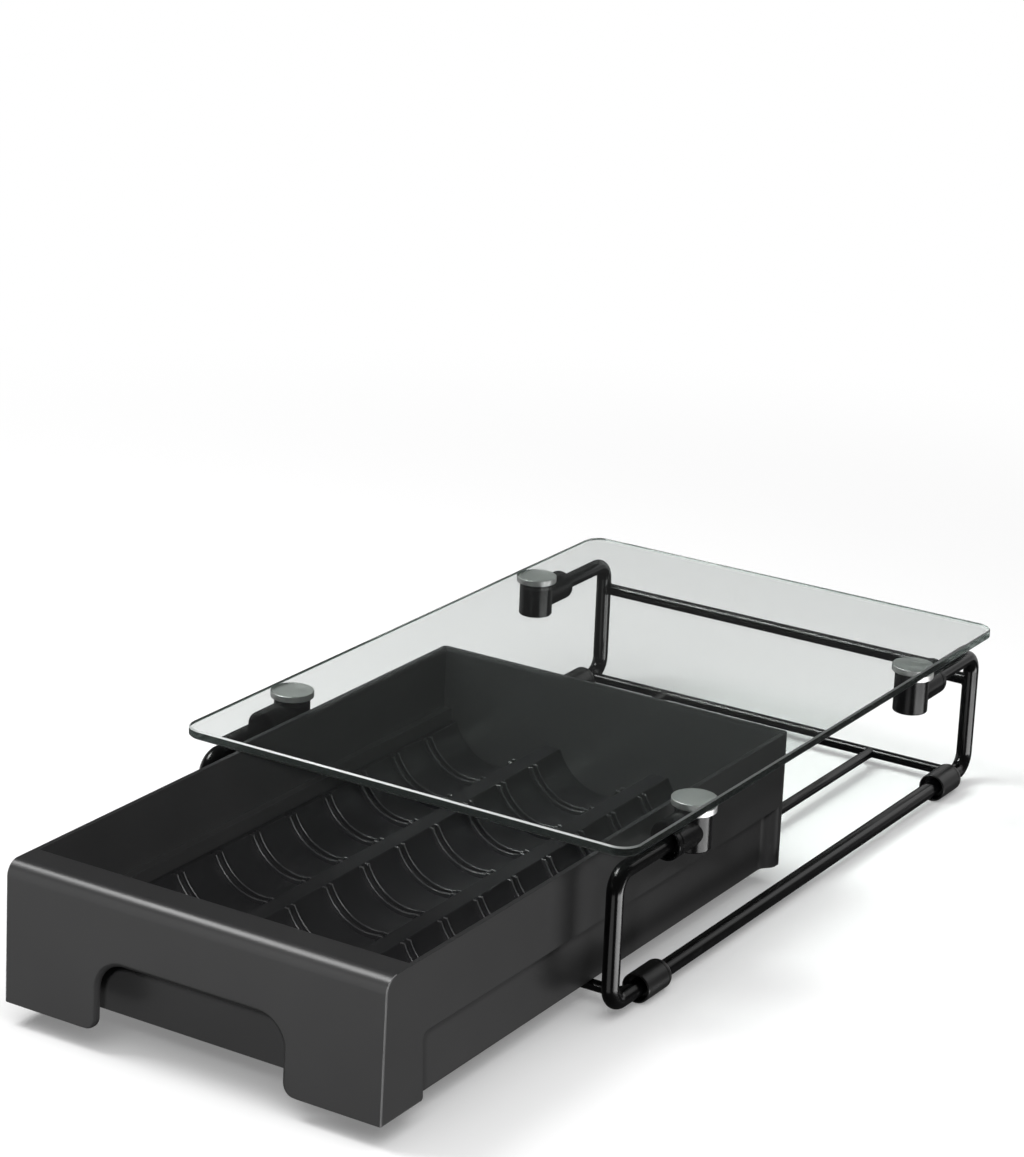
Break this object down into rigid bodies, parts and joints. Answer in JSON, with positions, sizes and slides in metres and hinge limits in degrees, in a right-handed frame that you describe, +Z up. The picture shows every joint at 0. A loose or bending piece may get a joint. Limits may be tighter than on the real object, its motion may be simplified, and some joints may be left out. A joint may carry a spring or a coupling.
{
  "type": "coffee pod drawer stand",
  "caption": "Glass shelf on a low bent-rod frame, with a moulded coffee pod drawer that slides out on rails under it.",
  "frame": {"origin": "centre of the bottom of the whole object's box, with the drawer at its stored opening", "axes": "+X to the right seen from the front, +Y from the drawer's front to the rear, +Z up"},
  "size_m": [0.2724, 0.5874, 0.0965],
  "materials": {
    "clear_glass": "polished",
    "disc_aluminium": "satin",
    "connector_enamel": "gloss",
    "screw_steel": "satin",
    "rod_enamel": "satin",
    "foot_rubber": "satin",
    "drawer_plastic": "matt",
    "tray_plastic": "matt"
  },
  "bodies": {
    "frame": {"glass_top": "clear_glass", "disc_front_left": "disc_aluminium", "disc_front_right": "disc_aluminium", "disc_rear_left": "disc_aluminium", "disc_rear_right": "disc_aluminium", "connector_front_left": "connector_enamel", "connector_front_right": "connector_enamel", "connector_rear_left": "connector_enamel", "connector_rear_right": "connector_enamel", "connector_screws": "screw_steel", "side_frame_left": "rod_enamel", "side_frame_right": "rod_enamel", "foot_front_left": "foot_rubber", "foot_front_right": "foot_rubber", "foot_rear_left": "foot_rubber", "foot_rear_right": "foot_rubber", "front_crossbar": "rod_enamel", "rear_crossbar": "rod_enamel", "rear_brace": "rod_enamel", "rail_left": "rod_enamel", "rail_right": "rod_enamel"},
    "drawer": {"drawer_shell": "drawer_plastic", "pod_tray": "tray_plastic"}
  },
  "joints": [
    {"name": "drawer_slide", "type": "slide", "parent": "frame", "child": "drawer", "axis": [0, 1, 0], "range_m": [-0.15, 0.171]}
  ]
}
